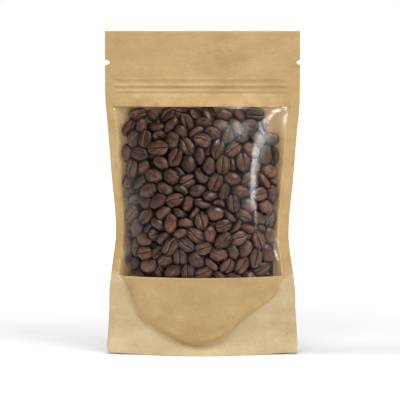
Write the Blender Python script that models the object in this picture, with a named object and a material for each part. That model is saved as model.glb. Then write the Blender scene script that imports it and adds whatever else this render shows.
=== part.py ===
"""A filled stand-up coffee bag: a kraft paper pouch with a flat clear window in its front, standing on its
bottom gusset. Run it with blender --background --python part.py, or from the text editor.

The bag stands at the origin, on its bottom gusset: +Z is up, X is its width, and the window faces -Y.
Each panel keeps its cut width. A place on it is (s, v): s runs across the paper from the middle, v is the
height above the ground. How far the panel stands out there is worked out first, and its x follows from that,
because the paper bends but doesn't stretch: the bag is narrowest where it is thickest.
"""

import bmesh
import bpy
import numpy as np

MM = 0.001  # the sizes below are in millimetres

# The flat bag
PANEL_HALF = 55.0  # half the width of the front or the back
HEIGHT = 183.0  # ground to top edge
SEAL_LEFT = 4.3  # width of the side seals
SEAL_RIGHT = 6.2
SEAL_THICK = 1.2  # front and back pressed together
WALL = 0.6

# How far the middle of the panel stands out beyond the seal, by height
BULGE = (
    (0.0, 11.0), (6.0, 11.2), (14.0, 11.6), (25.0, 12.4), (37.0, 14.0), (50.0, 16.3), (60.0, 17.9),
    (70.0, 18.5), (84.0, 17.4), (100.0, 14.7), (117.0, 12.0), (133.0, 8.0), (141.0, 4.4), (148.0, 1.6),
    (158.0, 0.3), (HEIGHT, 0.0),
)
BLUNT_BELLY = 1.45  # 1 is a round section, more is flatter in the middle and fuller at the seals
BLUNT_FOOT = 0.75  # under 1 is fuller in the middle and straighter towards the seals
BELLY_FROM, FOOT_TO = 66.0, 36.0
SLUMP = 3.5  # the contents lie lower on the right than on the left

# The bottom seal: an arc across the foot of each panel, with a flat skirt under it
ARC_LOW = 5.8
ARC_RISE = 31.0
ARC_REACH = 50.0  # where the arc meets the side seal
ARC_POWER_LEFT, ARC_POWER_RIGHT = 2.2, 1.6
ARC_DENT = 1.7
ARC_DENT_HEIGHT = 4.0
SKIRT_BOW = 11.8  # how far the middle of its bottom edge stands out beyond the seals
SKIRT_POWER = 1.6
SKIRT_THICK = 1.0

# The gusset under the bag
GUSSET_FLAT_REACH = 22.0  # it lies on the ground this far out from the middle
GUSSET_FLAT_SHARE = 0.6  # and over this share of the depth between the skirts
GUSSET_END = 2.2  # it ends this far inside the side seals
GUSSET_DROP = 1.5  # how far its fold hangs below the arc at its ends
GUSSET_SKIN = 0.9
SLIT = 0.2  # half of the gap between the skirts where they meet at the side seals
DRAW_IN = 0.5  # from each ring under the foot of a side seal to the next

# Press-to-close strip: the heights of its ribs and grooves, and how far they stand out
ZIP_RIBS = ((157.6, 0.45), (153.9, 0.45), (151.8, -0.4), (150.2, 0.35), (148.6, -0.4))
ZIP_RIB_WIDTH = 0.9

# Tear notches in the side edges
NOTCH_HEIGHT = 165.3
NOTCH_LEFT, NOTCH_RIGHT = (2.8, 1.6), (2.0, 1.3)  # depth and half height
NOTCH_SIDES = 10
NOTCH_MOUTH, NOTCH_CUTTER_PAST = 0.4, 3.0  # the cutter reaches this far outside the edge

# The window in the front panel
WINDOW_LEFT, WINDOW_RIGHT = -51.3, 49.9
WINDOW_BOTTOM, WINDOW_TOP = 44.0, 140.2
WINDOW_CUT_PAST = 0.22  # the opening goes this much deeper than the wall
WINDOW_CUTTER_PAST = 1.5
GAP = 0.3  # between pieces that touch
FILM_SET_BACK = 0.05
FILM_THICK = 0.28

# The hollow inside, and the beans in it
HOLLOW_TOP = 143.0
HOLLOW_EDGE = 1.6  # it ends this far inside the seals
HOLLOW_LEAST = 0.15  # its least half depth
HOLLOW_FOOT = 1.2  # how far above the arc it starts
HOLLOW_CORNER = 10.0  # this near its ends it stays above the arc
HOLLOW_KEEL = 0.6  # how much lower its middle line is than its sides there
FILL_TOP = 136.5
FILL_LEFT_FROM, FILL_LEFT_DROP = -28.0, 3.0  # the heap is lower at its left end
FILL_UNEVEN, FILL_WAVE = 1.6, 26.0
FILL_CROWN = ((0.3, 1.4), (0.7, 1.8))  # its top, between front and back: share of the depth, and height
FILL_EDGE = 3.2
FILL_SET_BACK = 1.1  # behind the panel's outer face
FILL_LIFT = 1.3  # above the bottom of the hollow
BEAN_LONG, BEAN_WIDE, BEAN_RELIEF = 11.4, 8.4, 2.8
BEAN_STRAY, BEAN_TURN, BEAN_SEED = 1.5, 0.7, 7

# How fine the meshes are
COLUMNS = (0.0, 6.0, 12.0, 18.0, 24.0, 30.0, 36.0, 41.0, 45.0, 48.2)
ROWS_TOP = (183.0, 171.0, 159.8, 157.6, 155.7, 153.9, 151.8, 150.2, 148.6, 146.0)
ROWS_BODY = (
    143.0, 140.2, 136.0, 130.5, 123.0, 114.0, 104.0, 94.0, 84.0, 74.0, 64.0, 54.0, 44.0,
    35.0, 27.0, 20.0, 14.5, 10.5, 8.0, ARC_LOW,
)
ARC_FADE_TOP = 62.0  # rows above this are level, and those below follow the arc
GUSSET_RINGS = (0.86, 0.72, GUSSET_FLAT_SHARE, 0.25)
HEAP_COLUMNS, HEAP_ROWS = 27, 23


def through(stations, at):
    """A smooth curve through the stations (place, value), read at the places given."""
    place, value = np.array(stations).T
    slope = np.gradient(value, place)
    at = np.clip(at, place[0], place[-1])
    i = np.clip(np.searchsorted(place, at) - 1, 0, len(place) - 2)
    step = place[i + 1] - place[i]
    t = (at - place[i]) / step
    rise = value[i + 1] - value[i]
    bend = (1 - t) * (slope[i] * step - rise) - t * (slope[i + 1] * step - rise)
    return value[i] + t * rise + t * (1 - t) * bend


def arc_height(s):
    """The bottom seal's arc: low in the middle, rising to the side seals."""
    out = np.clip(np.abs(s) / ARC_REACH, 0, 1)
    return ARC_LOW + ARC_RISE * out ** np.where(s < 0, ARC_POWER_LEFT, ARC_POWER_RIGHT)


def span(s):
    """The width of half a panel, from the middle to the side seal."""
    return PANEL_HALF - np.where(s < 0, SEAL_LEFT, SEAL_RIGHT)


def section(s, v):
    """How far a bulging panel stands out at (s, v), with no arc, strip or skirt: its slope grows from none in
    the middle to the seal, at a rate that gives the bulge wanted there."""
    bulge = through(BULGE, v + SLUMP * s / PANEL_HALF)
    foot = np.clip((BELLY_FROM - v) / (BELLY_FROM - FOOT_TO), 0, 1)
    blunt = BLUNT_BELLY + (BLUNT_FOOT - BLUNT_BELLY) * foot
    half = span(s)
    out = np.clip(np.abs(s) / half, 0, 1)
    steps = (np.arange(24) + 0.5) / 24
    share = steps[:, None] ** blunt
    low, high = np.zeros_like(bulge), np.full_like(bulge, 1.4)
    for _ in range(24):  # the edge angle that gives the bulge
        angle = (low + high) / 2
        short = half * np.sin(angle * share).mean(axis=0) < bulge
        low, high = np.where(short, angle, low), np.where(short, high, angle)
    along = out + (1 - out) * steps[:, None]
    return half * (1 - out) * np.sin(angle * along**blunt).mean(axis=0)


def body_depth(s, v):
    """The panel above the arc, half the seal's thickness and the dent along the arc included."""
    stands = section(s, v)
    above_arc = np.clip(v - arc_height(s), 0, None)
    dent = ARC_DENT * np.clip(stands / 4, 0, 1) * np.exp(-above_arc / ARC_DENT_HEIGHT)
    ribs = sum(high * np.exp(-(((v - rib) / ZIP_RIB_WIDTH) ** 2)) for rib, high in ZIP_RIBS)
    return SEAL_THICK / 2 + stands - dent + ribs * (np.abs(s) < span(s) - 1)


def depth(s, v):
    """How far the outer face of a panel stands from the middle plane of the bag at (s, v)."""
    s, v = np.broadcast_arrays(np.asarray(s, float), np.asarray(v, float))
    shape, s, v = s.shape, s.ravel(), v.ravel()
    arc = arc_height(s)
    down = np.clip(1 - v / arc, 0, 1)
    foot = SEAL_THICK / 2 + SKIRT_BOW * (1 - np.clip(np.abs(s) / span(s), 0, 1) ** SKIRT_POWER)
    skirt = down * foot + (1 - down) * body_depth(s, arc)
    return np.where(v < arc, skirt, body_depth(s, v)).reshape(shape)


TABLE_S = np.linspace(-PANEL_HALF, PANEL_HALF, 221)
TABLE_V = np.linspace(0, HEIGHT, 123)


def width_table():
    """The x of each (v, s) of the table, from the paper's width staying the same."""
    slope = np.gradient(depth(TABLE_S, TABLE_V[:, None]), TABLE_S, axis=1)
    run = np.sqrt(1 - np.clip(slope, -0.95, 0.95) ** 2)
    step = TABLE_S[1] - TABLE_S[0]
    x = np.cumsum((run[:, 1:] + run[:, :-1]) / 2 * step, axis=1)
    x = np.concatenate([np.zeros((len(run), 1)), x], axis=1)
    return x - x[:, [len(TABLE_S) // 2]]


WIDTHS = width_table()


def across(s, v):
    """The x of (s, v), read from the table of widths."""
    i = np.clip((s - TABLE_S[0]) / (TABLE_S[1] - TABLE_S[0]), 0, len(TABLE_S) - 1.001)
    j = np.clip((v - TABLE_V[0]) / (TABLE_V[1] - TABLE_V[0]), 0, len(TABLE_V) - 1.001)
    i0, j0 = i.astype(int), j.astype(int)
    fi, fj = i - i0, j - j0
    low = WIDTHS[j0, i0] * (1 - fi) + WIDTHS[j0, i0 + 1] * fi
    high = WIDTHS[j0 + 1, i0] * (1 - fi) + WIDTHS[j0 + 1, i0 + 1] * fi
    return low * (1 - fj) + high * fj


def level_rows(s, levels):
    """The height of each level at each s. Low levels follow the arc, and high ones are level."""
    levels = np.asarray(levels)[:, None]
    follow = np.clip((ARC_FADE_TOP - levels) / (ARC_FADE_TOP - ARC_LOW), 0, 1)
    return levels + (arc_height(s) - ARC_LOW) * follow


def columns(reach_left, reach_right):
    """The s of each column, from one reach to the other."""
    inner = np.array(COLUMNS)
    left = inner[(inner > 0) & (inner < reach_left - 0.8)]
    right = inner[inner < reach_right - 0.8]
    return np.concatenate([[-reach_left], -left[::-1], right, [reach_right]])


def columns_over_seals(left, right):
    """The s of each column from left to right, with one on the inner line of each side seal."""
    inner = columns(span(-1) - GUSSET_END, span(1) - GUSSET_END)
    return np.concatenate([[left, -span(-1)], inner, [span(1), right]])


def ring(s, v, stand_out):
    """One ring of points round the bag: the front at -Y, the back at +Y."""
    x = across(s, v)
    return np.array([np.stack([x, side * stand_out, v + 0 * x], axis=1) for side in (-1, 1)])


def solid(name, rings, material):
    """A closed object from rings of (side, column) points. The first and the last ring are closed flat."""
    rings = np.array(rings)
    count, _, wide, _ = rings.shape
    work = bmesh.new()
    for point in rings.reshape(-1, 3) * MM:
        work.verts.new(point)
    work.verts.ensure_lookup_table()

    def corner(r, side, c):
        return work.verts[(r * 2 + side) * wide + c]

    loop = [(0, c) for c in range(wide)] + [(1, c) for c in reversed(range(wide))]
    for r in range(count - 1):
        for here, there in zip(loop, loop[1:] + loop[:1]):
            work.faces.new([corner(r, *here), corner(r + 1, *here), corner(r + 1, *there), corner(r, *there)])
    for c in range(wide - 1):
        work.faces.new([corner(0, 0, c), corner(0, 0, c + 1), corner(0, 1, c + 1), corner(0, 1, c)])
        end = count - 1
        work.faces.new([corner(end, 0, c), corner(end, 1, c), corner(end, 1, c + 1), corner(end, 0, c + 1)])
    bmesh.ops.triangulate(work, faces=work.faces[:])
    bmesh.ops.recalc_face_normals(work, faces=work.faces[:])
    if work.calc_volume(signed=True) < 0:
        bmesh.ops.reverse_faces(work, faces=work.faces[:])
    mesh = bpy.data.meshes.new(name)
    work.to_mesh(mesh)
    work.free()
    mesh.shade_smooth()
    mesh.set_sharp_from_angle(angle=np.radians(40))
    made = bpy.data.objects.new(name, mesh)
    bpy.context.scene.collection.objects.link(made)
    if material:
        mesh.materials.append(material)
    return made


def gusset_height(s, share):
    """The gusset's underside, at a share of the way from the middle line to the skirt: it lies on the ground
    in the middle, and climbs to the arc all round."""
    reach = span(s) - GUSSET_END
    out = np.clip((np.abs(s) - GUSSET_FLAT_REACH) / (reach - GUSSET_FLAT_REACH), 0, 1)
    fold = out**1.5 * (arc_height(s) - GUSSET_DROP)
    climb = np.clip((share - GUSSET_FLAT_SHARE) / (1 - GUSSET_FLAT_SHARE), 0, 1) ** 2
    return fold + (arc_height(s) - fold) * climb


def hollow_floor(s, share, lift):
    """The bottom of the space inside, over the gusset. Near its ends it rises clear of the gusset's fold."""
    low = gusset_height(s, share) + GUSSET_SKIN + lift
    high = arc_height(s) + HOLLOW_FOOT + lift - HOLLOW_KEEL * (1 - share)
    near_end = np.clip((np.abs(s) - span(s) + HOLLOW_EDGE + HOLLOW_CORNER) / (HOLLOW_CORNER - 3), 0, 1)
    return low + (high - low) * near_end


def under_arc(s):
    """How far the skirt's inner face stands from the middle plane where the gusset leaves it."""
    return np.clip(depth(s, arc_height(s)) - SKIRT_THICK, SLIT, None)


def pouch_outside():
    """The rings of the paper's outer face: down the panels, under the skirts and in over the gusset. The side
    seals reach the ground, so the rings under the bag are drawn in there from one to the next."""
    s = columns_over_seals(-PANEL_HALF, PANEL_HALF)
    rings = [ring(s, v + 0 * s, depth(s, v)) for v in ROWS_TOP]
    rings += [ring(s, v, depth(s, v)) for v in level_rows(s, ROWS_BODY)]
    rings += [ring(s, v, depth(s, v)) for v in (arc_height(s) * 0.5, 0 * s)]
    sealed = np.abs(s) > span(s) - GUSSET_END / 2
    arc = arc_height(s)
    below = [(v, np.clip(depth(s, v) - SKIRT_THICK, SLIT, None)) for v in (0 * s, arc * 0.5, arc)]
    below += [(gusset_height(s, share), under_arc(s) * share) for share in GUSSET_RINGS]
    for number, (v, stand_out) in enumerate(below, start=1):
        drawn_in = s - np.sign(s) * (np.abs(s) == PANEL_HALF) * number * DRAW_IN
        stand_out = np.where(sealed, SLIT * (1 - number / (len(below) + 2)), stand_out)
        rings.append(ring(drawn_in, np.where(sealed, 0, v), stand_out))
    return rings


def hollow_inside():
    """The rings of the space in the bag."""
    s = columns(span(-1) - HOLLOW_EDGE, span(1) - HOLLOW_EDGE)
    heights = [*level_rows(s, ROWS_BODY[:-1]), arc_height(s) + HOLLOW_FOOT]
    rings = [ring(s, v, np.clip(depth(s, v) - WALL, HOLLOW_LEAST, None)) for v in heights]
    wide = np.clip(under_arc(s) - GUSSET_SKIN / 3, HOLLOW_LEAST, None)
    rings += [ring(s, hollow_floor(s, share, 0), wide * share) for share in GUSSET_RINGS]
    return rings


def window_rings(smaller, outer, inner):
    """The rings of a sheet in the window, smaller than it all round. It follows the front panel, between two
    distances out from the panel's outer face."""
    s = columns_over_seals(WINDOW_LEFT + smaller, WINDOW_RIGHT - smaller)
    bottom, top = WINDOW_BOTTOM + smaller, WINDOW_TOP - smaller
    rings = []
    for v in (top, *(v for v in ROWS_BODY if bottom + 1 < v < top - 1), bottom):
        x = across(s, v + 0 * s)
        faces = [np.stack([x, -(depth(s, v) + out), v + 0 * s], axis=1) for out in (outer, inner)]
        rings.append(np.array(faces))
    return rings


def bean_relief(s, v):
    """How far the heap's face lies behind the fronts of its beans: oval humps in uneven rows."""
    random = np.random.RandomState(BEAN_SEED)
    relief = np.full(s.shape, BEAN_RELIEF)
    rows = np.arange(0, HEIGHT, BEAN_WIDE * 1.02)
    for number, row in enumerate(rows):
        for place in np.arange(-PANEL_HALF, PANEL_HALF, BEAN_LONG * 0.92):
            at_s = place + (number % 2) * BEAN_LONG * 0.46 + random.uniform(-BEAN_STRAY, BEAN_STRAY)
            at_v = row + random.uniform(-BEAN_STRAY, BEAN_STRAY)
            turn = random.uniform(-BEAN_TURN, BEAN_TURN)
            along = (s - at_s) * np.cos(turn) + (v - at_v) * np.sin(turn)
            aside = (v - at_v) * np.cos(turn) - (s - at_s) * np.sin(turn)
            far = (along / (BEAN_LONG / 2)) ** 2 + (aside / (BEAN_WIDE / 2)) ** 2
            relief = np.minimum(relief, BEAN_RELIEF * (1 - np.sqrt(np.clip(1 - far, 0, 1))))
    return relief


def heap_outside():
    """The rings of the heap of beans: over its uneven top, down its bumpy faces, and in over the gusset."""
    s = np.linspace(FILL_EDGE - span(-1), span(1) - FILL_EDGE, HEAP_COLUMNS)
    foot = arc_height(s) + HOLLOW_FOOT + GAP
    slope = FILL_LEFT_DROP * np.clip((FILL_LEFT_FROM - s) / (FILL_LEFT_FROM - s[0]), 0, 1)
    top = FILL_TOP - slope + FILL_UNEVEN * np.sin(2 * np.pi * s / FILL_WAVE + 1)

    def out(v):
        return np.clip(depth(s, v) - FILL_SET_BACK - bean_relief(s, v), 0.3, None)

    rings = [ring(s, top + rise, out(top) * share) for share, rise in FILL_CROWN]
    rings += [ring(s, v, out(v)) for v in np.linspace(top, foot, HEAP_ROWS)]
    wide = np.clip(under_arc(s) - GUSSET_SKIN / 3 - GAP, HOLLOW_LEAST, None)
    for share in GUSSET_RINGS:
        rings.append(ring(s, hollow_floor(s, share, FILL_LIFT), wide * share))
    return rings


def notch_cutter(name, side, size):
    """A prism with a round tip that cuts a notch into a side edge."""
    deep, half = size
    turn = np.linspace(-np.pi / 2, np.pi / 2, NOTCH_SIDES)
    tip = side * (PANEL_HALF + NOTCH_MOUTH - (deep + NOTCH_MOUTH) * np.cos(turn))
    outside = np.full_like(tip, side * (PANEL_HALF + NOTCH_CUTTER_PAST))
    z = NOTCH_HEIGHT + half * np.sign(turn) * np.abs(np.sin(turn)) ** 1.5
    rings = []
    for y in (-SEAL_THICK, SEAL_THICK):
        rings.append([np.stack([x, np.full_like(x, y), z], axis=1) for x in (tip, outside)])
    return cutter(solid(name, rings, None))


def cutter(made):
    made.hide_render = True
    made.display_type = "WIRE"
    return made


def cut(target, tool):
    boolean = target.modifiers.new(tool.name, "BOOLEAN")
    boolean.operation = "DIFFERENCE"
    boolean.solver = "EXACT"
    boolean.object = tool


def material(name, color, roughness, alpha=1.0):
    made = bpy.data.materials.new(name)
    made.use_nodes = True
    shader = made.node_tree.nodes["Principled BSDF"]
    shader.inputs["Base Color"].default_value = (*color, 1)
    shader.inputs["Roughness"].default_value = roughness
    shader.inputs["Alpha"].default_value = alpha
    return made


def kraft_pouch():
    """The paper: one shell with its window open, its notches cut and its corners free of the gusset."""
    paper = material("kraft paper", (0.52, 0.35, 0.16), 0.75)
    pouch = solid("kraft_pouch", pouch_outside(), paper)
    cut(pouch, cutter(solid("hollow_cutter", hollow_inside(), None)))
    through_wall = window_rings(0, WINDOW_CUTTER_PAST, -WALL - WINDOW_CUT_PAST)
    cut(pouch, cutter(solid("window_cutter", through_wall, None)))
    cut(pouch, notch_cutter("notch_cutter_left", -1, NOTCH_LEFT))
    cut(pouch, notch_cutter("notch_cutter_right", 1, NOTCH_RIGHT))
    return pouch


def window_film():
    """The clear sheet that closes the window."""
    clear = material("clear film", (0.9, 0.9, 0.9), 0.1, 0.3)
    return solid("window_film", window_rings(GAP, -FILM_SET_BACK, -FILM_SET_BACK - FILM_THICK), clear)


def coffee_beans():
    """The heap of roasted beans that fills the bag."""
    roasted = material("roasted coffee", (0.045, 0.018, 0.009), 0.45)
    return solid("coffee_beans", heap_outside(), roasted)


def main():
    for old in list(bpy.data.objects):
        bpy.data.objects.remove(old, do_unlink=True)
    bag = bpy.data.objects.new("coffee_bag", None)
    bpy.context.scene.collection.objects.link(bag)
    for piece in (kraft_pouch(), window_film(), coffee_beans()):
        piece.parent = bag


main()
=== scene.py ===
"""A filled stand-up coffee bag: kraft paper panels, a window of clear film in the front one, and roasted
beans behind the film, on a pale studio floor.

The model is worked out in millimetres. A place on a panel is (s, v): s runs across the paper from its
middle, and v is the height above the ground. The paper bends but doesn't stretch, so the x of a place
follows from how far the panel stands out on the way to it.
"""

import bpy
import numpy as np
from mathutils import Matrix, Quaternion, Vector


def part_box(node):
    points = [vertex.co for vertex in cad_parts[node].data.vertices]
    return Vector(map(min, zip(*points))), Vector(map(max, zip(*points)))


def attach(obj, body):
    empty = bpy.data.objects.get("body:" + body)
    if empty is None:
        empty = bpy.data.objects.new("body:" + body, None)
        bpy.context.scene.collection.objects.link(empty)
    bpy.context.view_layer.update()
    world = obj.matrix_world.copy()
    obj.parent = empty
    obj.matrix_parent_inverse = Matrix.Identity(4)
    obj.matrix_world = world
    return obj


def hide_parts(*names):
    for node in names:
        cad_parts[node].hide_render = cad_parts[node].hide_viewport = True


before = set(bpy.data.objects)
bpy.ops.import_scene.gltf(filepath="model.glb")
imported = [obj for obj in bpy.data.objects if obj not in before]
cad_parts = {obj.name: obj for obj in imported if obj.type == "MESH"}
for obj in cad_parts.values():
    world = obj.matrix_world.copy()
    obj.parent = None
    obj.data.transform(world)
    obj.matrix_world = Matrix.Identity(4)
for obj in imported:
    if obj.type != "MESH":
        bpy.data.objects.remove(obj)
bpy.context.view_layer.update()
scene = bpy.context.scene
MM = 0.001

# ---- sizes, in millimetres
_, pouch_high = (np.array(corner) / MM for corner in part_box("kraft_pouch"))
film_low, film_high = (np.array(corner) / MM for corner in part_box("window_film"))

PANEL_HALF = float(pouch_high[0])
HEIGHT = float(pouch_high[2])
SEAL_LEFT, SEAL_RIGHT = 4.3, 6.2
SEAL_HALF = 0.34  # half the thickness of the side seals
PAPER = 0.22

BULGE = (
    (0, 11.3), (6, 11.5), (14, 11.9), (25, 12.7), (37, 14.3), (50, 16.6), (60, 18.2),
    (70, 18.8), (84, 17.7), (100, 15), (117, 12.3), (133, 8.3), (141, 4.7), (148, 1.8),
    (158, 0.4), (HEIGHT, 0),
)
BLUNT_BELLY, BLUNT_FOOT = 1.45, 0.75
BELLY_FROM, FOOT_TO = 66, 36
SLUMP = 3.5

ARC_LOW, ARC_RISE, ARC_REACH = 5.8, 31, 50
ARC_POWER_LEFT, ARC_POWER_RIGHT = 2.2, 1.6
ARC_DENT, ARC_DENT_HEIGHT = 1.7, 4
SKIRT_BOW, SKIRT_POWER = 12, 1.6
FRONT_ARC = (  # across and height of each kink
    (-55, 48), (-50.5, 46), (-46, 41), (-41.5, 34), (-38, 26), (-33.6, 18.6), (-22, 11.8), (-11, 6.2),
    (-5.5, 4.8), (2, 5.3), (9, 8), (15, 10.8), (21.5, 18.2), (31, 24.8), (40, 30.6), (44, 34), (48.5, 42),
    (55, 46),
)
FRONT_DENT, FRONT_DENT_HEIGHT = 4.6, 8
DENT_SOFT, DENT_SHARP, DENT_SHARP_HEIGHT = 0.55, 0.45, 0.2  # the shares of a dent's two parts
FOOT_SPREAD = 0.008
CORNER_SPLAY, SPLAY_WIDTH, SPLAY_HEIGHT = 2.4, 14, 13
CORNER_LIFT, LIFT_WIDTH, LIFT_HEIGHT = 0.9, 26, 10
SPOT_OUT, SPOT_HEIGHT, SPOT_RADIUS = 56.5, 12, 5.2
SPOT_RIM, SPOT_RIM_WIDTH, SPOT_MIDDLE = 0.22, 0.5, 0.12  # how deep the round mark's rim and middle are
SEAL_STEP = 0.26  # how far the side seals lie behind the bulging paper
GUSSET_FOLD, GUSSET_FOLD_LINE = 34, 0.12
TOP_WAVE, TOP_WAVE_LENGTH, TOP_WAVE_START = -0.9, 95, 0.7
SLOW_WAVE, SLOW_WAVE_LENGTH = 0.35, 48
COCKLES = ((0.11, 15), (0.018, 5))  # the height and length of the paper's small waves
PUCKERS = (  # the middle, half width and height of each bulge
    (-36.9, 2.4, 1.3), (-26.4, 2.4, 1.2), (-15.8, 2.5, 1.2), (-5, 2.1, 1), (2.4, 2.5, 1.1),
    (12.8, 2.5, 1.3), (25.3, 2.8, 1.3), (37, 2.4, 0.6),
)
PUCKER_FOOT, PUCKER_TOP = (139.5, 144), (148.2, 145.6)  # where they rise from nothing to their full height
CREASES = (  # across, height, turn in degrees, half length, half width and height of each fold
    (-28, 20.5, 40, 6, 2.2, 1.1), (-17, 12.5, -28, 6, 1.6, 0.9), (18, 17, 55, 7, 1.8, 1.1),
    (11, 12, 25, 5, 1.4, 0.8), (38, 31, 30, 9, 1.5, 0.8), (-42, 38, -62, 9, 2.2, -0.7),
    (-31, 32, -58, 10, 3, 0.8), (-24, 27, -35, 8, 3, -0.7), (-5, 22, 5, 12, 4, 0.4),
    (28, 26, 45, 9, 2.5, -0.7), (3, 9.5, 8, 7, 1.5, 0.5), (-48, 157, -35, 5, 1.2, 0.4),
    (-44, 151, -30, 4, 1, 0.4), (-39, 163, 110, 7, 1.8, -0.9), (-12.8, 162, 105, 6, 2.2, -0.8),
    (15, 165, 103, 9, 2.2, -0.9), (3, 172, 15, 9, 3, 0.5), (-36, 175, 92, 8, 2.5, 0.5),
    (36, 166, 80, 9, 3, 0.6), (24, 158, 20, 8, 2, 0.4),
)
PANEL_COLUMNS, PANEL_ROWS = 165, 184
FINE_ROWS = ((0, 50, 0.5), (140, 161, 0.45), (162, 169, 0.35))  # foot, zip, notches: from, to, step

GUSSET_FLAT_REACH, GUSSET_FLAT_SHARE = 22, 0.6
GUSSET_END, GUSSET_DROP = 2.2, 1.5
GUSSET_SHEET, GUSSET_CLEAR, GUSSET_INSET = 0.08, 0.05, 0.4
GUSSET_COLUMNS, GUSSET_SKIRT_ROWS, GUSSET_FLOOR_ROWS = 111, 9, 16

# the height and relief of each rib
ZIP_RIBS = ((155.8, 0.266), (152.3, 0.494), (150.5, -0.304), (149.1, 0.228), (147.8, -0.228))
ZIP_RIB_WIDTH = 0.8

NOTCH_HEIGHT = 165.3
NOTCH_LEFT, NOTCH_RIGHT = (2.8, 1.6), (2, 1.3)

FILM_THICK, FILM_GAP, FILM_LAP = 0.08, 0.02, 3  # the gap to the paper, and how far the film goes under it
FILM_SPANS = ((-52.8, -45, 24), (-45, 22, 50), (22, 51.4, 112))  # columns: from, to, how many
FILM_ROWS = 211
FILM_SMOOTHING = 30
FILM_WAVES = ((0.012, 17), (0.002, 6))
FOLD_STEPS = 8
FILM_FOLDS = (  # how round each ridge is on its way, and its stations: s, v, height, reach right and left
    ((1, 1.6, 3.8, 3.6, 2.6), (
        (50.2, 142.6, 0, 1.2, 3), (47.8, 141, 0.6, 1.6, 4), (44.4, 139, 1.4, 3.2, 5),
        (38.6, 135.2, 2.4, 5.5, 7), (33, 130.2, 2.4, 6, 8), (29.8, 124, 1.7, 6.5, 8),
        (28.9, 115, 1.15, 7, 8), (28.9, 104, 1.15, 7, 7), (29.9, 92, 1.2, 6, 5.5),
        (31.6, 80, 1.2, 5, 4.5), (34, 68, 0.8, 4.5, 4.5), (35.5, 58, 0, 5, 5),
    )),
    ((0.4, 0.4), (
        (4, 140.2, 0, 1.2, 1.2), (16, 140.7, 0.4, 1.2, 1.2), (30, 140.9, 0.4, 1.2, 1.2),
        (46, 141.1, 0, 1.2, 1.2),
    )),
    ((1.2, 1.2), (
        (50.5, 82, 0, 1.6, 1.6), (46.2, 73, 0.9, 1.6, 1.6), (42.8, 66, 0.8, 1.6, 1.6),
        (41, 61, 0, 1.6, 1.6),
    )),
    ((1.2, 1.2), (
        (42, 62, 0, 1.6, 1.6), (44.5, 56, 0.8, 1.6, 1.6), (47, 50, 0.9, 1.6, 1.6),
        (50.5, 43, 0, 1.6, 1.6),
    )),
    ((0.9, 0.9), ((35.5, 66, 0, 1.5, 1.5), (39, 60, 0.5, 1.5, 1.5), (43.5, 51.5, 0, 1.5, 1.5))),
    ((0.9, 0.9), ((37.7, 66, 0, 1.5, 1.5), (41.2, 59, 0.5, 1.5, 1.5), (45.2, 52, 0, 1.5, 1.5))),
    ((0.8, 0.8), (
        (-51.2, 142.5, 0.3, 3, 1.5), (-49.6, 135, 1, 3, 1.8), (-48.8, 120, 0.8, 3, 2),
        (-48.8, 97, 0.6, 3, 2), (-48.6, 84, 0.4, 3, 2), (-48.2, 76, 0, 3, 2),
    )),
    ((0.8, 0.8), ((-50.5, 141.5, 0, 3, 3), (-46, 137, 0.4, 3, 3), (-41, 130, 0, 3, 3))),
)

GAP = 0.3
WINDOW_BOTTOM, WINDOW_TOP = float(film_low[2]) - GAP, float(film_high[2]) + GAP
WINDOW_LEFT, WINDOW_RIGHT = -51.3, 49.9

KRAFT_DARK, KRAFT_MID, KRAFT_PALE = (0.41, 0.266, 0.11), (0.46, 0.309, 0.133), (0.51, 0.351, 0.163)
# painted sheen: the bottom seal's paper is made paler and whiter, standing in for the sheen and brighter
# light on the skirt
SEAL_SHEEN_TINT = (1.12, 1.27, 1.65)
ROAST_DARK, ROAST_MID, ROAST_PALE = (0.068, 0.029, 0.018), (0.108, 0.046, 0.028), (0.165, 0.072, 0.043)
CREASE_LIP = (0.3, 0.16, 0.085)
# painted shade: near black, for the heap's hidden inside
CORE_SHADE_COLOR = (0.02, 0.009, 0.005)
FILM_INDEX, FILM_LEAST_GLOSS, FILM_ROUGHNESS = 1.5, 0.006, 0.15
FILM_HAZE, FILM_HAZE_ROUGHNESS = 0.18, 0.24
FLOOR_GLOW = (0.15, 0.8, 0, 0.8)  # from this distance to that in metres, from this strength to that
ROOM_FRONT, ROOM_BACK = 0.02, 0.5
BEAN_LIGHTS = (  # the name, turn to the right, rise, distance, size and power of each
    ("beans_key", 42, 40, 1.4, (0.45, 0.45), 13),
    ("beans_side", 80, 55, 1.4, (0.5, 0.5), 5),
)
PAPER_LIGHTS = (
    ("above", 0, 75, 1.4, (0.6, 0.6), 12),
    ("front", -15, 35, 1.4, (0.6, 0.6), 3),
    ("right", 40, 40, 1.4, (0.6, 0.6), 5),
    ("low_right", 48, 8, 1.4, (0.6, 0.6), 6.5),
    ("left", -80, 28, 1.4, (0.6, 0.6), 10),
)
INNER_LIGHTS = (("inner", 0, 20, 1.4, (0.6, 0.6), 4.5),)
FILM_LIGHTS = (  # the same, and how far each leans over
    ("strip_right", 40, 29.5, 1.4, (0.34, 1.28), 150, 4),
    ("strip_upper", 40, 24, 1.4, (0.1, 0.4), 14, 4),
    ("strip_low", 52, 1.5, 1.4, (0.12, 0.34), 15, 0),
    ("strip_over", 16, 70, 1.4, (1.2, 0.12), 60, 0),
    ("veil_right", 19, 30, 1.3, (0.3, 0.36), 30, 0),
    ("strip_left", -67, 11, 1.3, (0.12, 0.95), 60, -62),
    ("strip_far_right", 114, 4, 1.3, (0.1, 0.7), 30, 0),
)
LIGHT_AIM = (0, 0, 0.09)
CAMERA_LENS, CAMERA_AWAY, CAMERA_RISE = 214.6, 1.35, 3.6
CAMERA_TARGET = (-0.0014, 0, 0.0875)


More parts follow.
